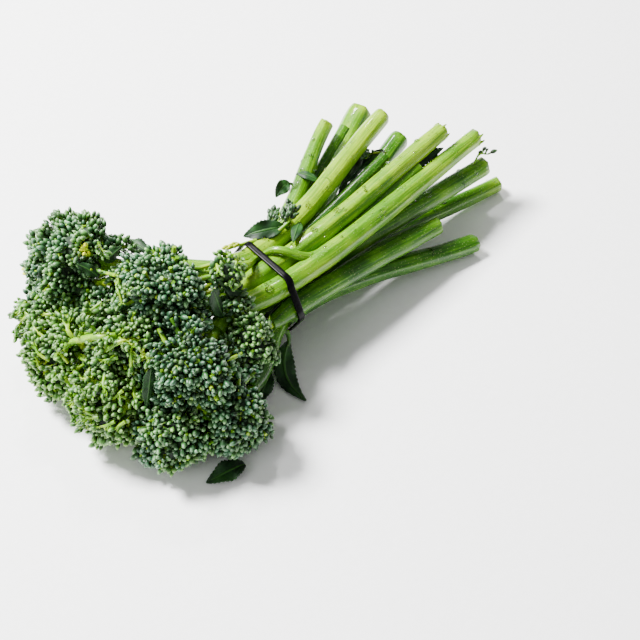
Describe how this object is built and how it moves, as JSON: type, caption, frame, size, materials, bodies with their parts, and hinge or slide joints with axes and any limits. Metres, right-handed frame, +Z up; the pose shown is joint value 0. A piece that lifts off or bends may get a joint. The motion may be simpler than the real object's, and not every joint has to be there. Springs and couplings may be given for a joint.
{
  "type": "broccolini bunch",
  "caption": "Bunch of broccolini on its side: long green stems held by a black rubber band, with lumpy heads of small florets and a few narrow leaves.",
  "frame": {"origin": "centre of the bottom of the bunch's box, on the surface that it lies on", "axes": "+X from the heads to the cut ends of the stems, +Z up from the surface, +Y across the bunch"},
  "size_m": [0.2353, 0.1284, 0.0637],
  "materials": {
    "stem": "fresh plant stem with a thin wax bloom, slightly glossy",
    "head": "matte flower buds, blue-green with yellow-green stalks",
    "leaf": "dark green leaf, satin",
    "band": "black rubber, slightly glossy"
  },
  "bodies": {
    "root": {"stem_1": "stem", "stem_2": "stem", "stem_3": "stem", "stem_4": "stem", "stem_5": "stem", "stem_6": "stem", "stem_7": "stem", "stem_8": "stem", "stem_9": "stem", "stem_10": "stem", "stem_11": "stem", "head_1": "head", "head_2": "head", "head_3": "head", "head_4": "head", "head_5": "head", "head_6": "head", "head_7": "head", "head_8": "head", "head_9": "head", "head_10": "head", "head_11": "head", "side_shoot": "head", "leaf_1": "leaf", "leaf_2": "leaf", "leaf_3": "leaf", "leaf_4": "leaf", "leaf_5": "leaf", "leaf_6": "leaf", "leaf_7": "leaf", "leaf_8": "leaf", "leaf_9": "leaf", "band": "band"}
  },
  "joints": []
}
